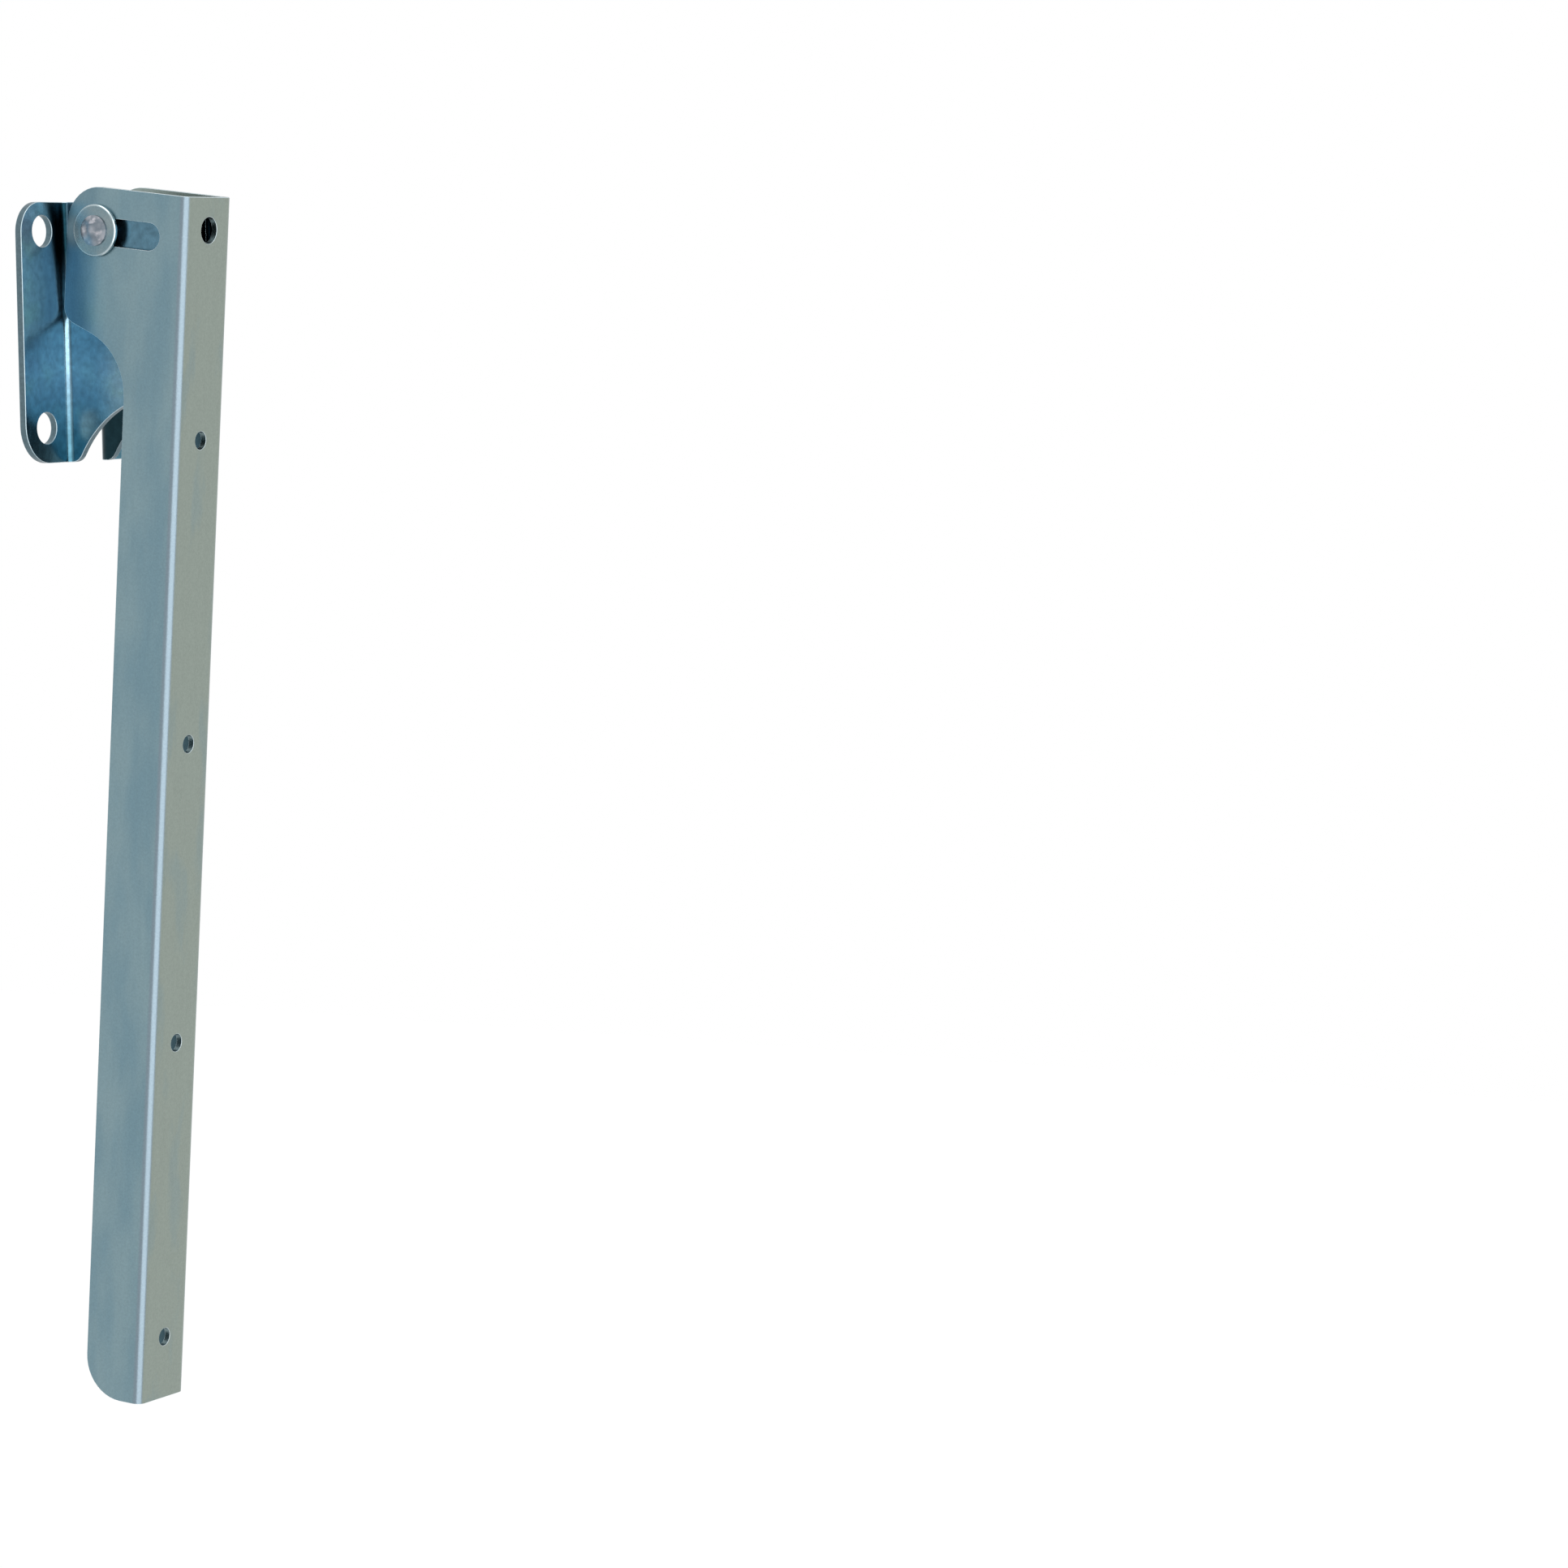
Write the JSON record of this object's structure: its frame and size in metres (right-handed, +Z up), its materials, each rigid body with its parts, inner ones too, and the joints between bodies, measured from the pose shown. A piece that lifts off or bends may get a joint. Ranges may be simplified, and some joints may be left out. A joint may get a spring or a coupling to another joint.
{
  "type": "folding shelf bracket",
  "caption": "Folding shelf bracket of zinc-plated sheet steel: a channel arm with slotted ears hangs on a riveted pin between wall wings and swings up to carry a shelf.",
  "frame": {"origin": "in the wall plane, at the centre of the four wall screw holes", "axes": "+X out of the wall, +Y along the wall, +Z up; the arm hangs folded down beside the wall"},
  "size_m": [0.0541, 0.066, 0.4028],
  "materials": {
    "bracket_zinc": "blue passivated zinc",
    "arm_zinc": "blue passivated zinc",
    "pin_zinc": "zinc, hammered head",
    "washer_zinc": "zinc plated"
  },
  "bodies": {
    "bracket": {"wall_bracket": "bracket_zinc", "pivot_pin": "pin_zinc", "near_washer": "washer_zinc", "far_washer": "washer_zinc"},
    "arm": {"support_arm": "arm_zinc"}
  },
  "joints": [
    {"name": "fold", "type": "hinge", "parent": "bracket", "child": "arm", "pos_m": [0.0178, 0, 0.032], "axis": [0, -1, 0], "range_deg": [0, 96.2]}
  ]
}
